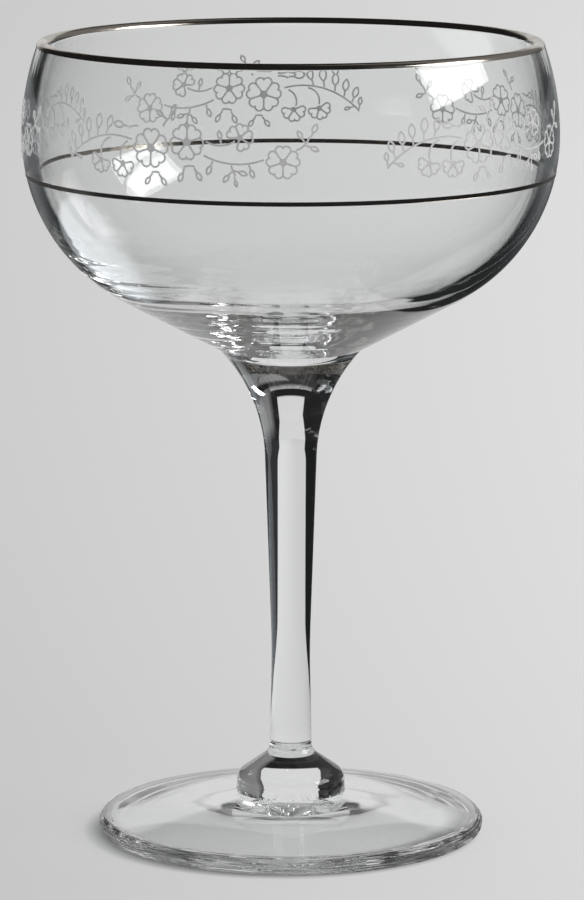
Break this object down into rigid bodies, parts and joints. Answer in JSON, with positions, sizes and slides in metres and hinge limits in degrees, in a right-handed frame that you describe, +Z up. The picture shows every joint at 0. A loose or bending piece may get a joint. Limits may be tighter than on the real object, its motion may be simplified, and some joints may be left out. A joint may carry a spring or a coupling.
{
  "type": "sherbet glass",
  "caption": "Tall stemmed sherbet glass: a wide thin-walled bowl on a flared stem, a button knop and a round foot, with metal lines and frosted flower sprays round the bowl.",
  "frame": {"origin": "middle of the foot's resting plane, on the axis of the glass", "axes": "+Z up along the axis of the glass, -Y towards the viewer of the picture"},
  "size_m": [0.0933, 0.0934, 0.1401],
  "materials": {
    "clear_glass": "clear, fire polished",
    "bright_metal": "fired metal film, bright",
    "frosted_enamel": "frosted, matt"
  },
  "bodies": {
    "root": {"bowl": "clear_glass", "stem": "clear_glass", "knop": "clear_glass", "foot": "clear_glass", "rim_line": "bright_metal", "bowl_line": "bright_metal", "flower_spray_1": "frosted_enamel", "flower_spray_2": "frosted_enamel", "flower_spray_3": "frosted_enamel", "flower_spray_4": "frosted_enamel", "flower_spray_5": "frosted_enamel"}
  },
  "joints": []
}
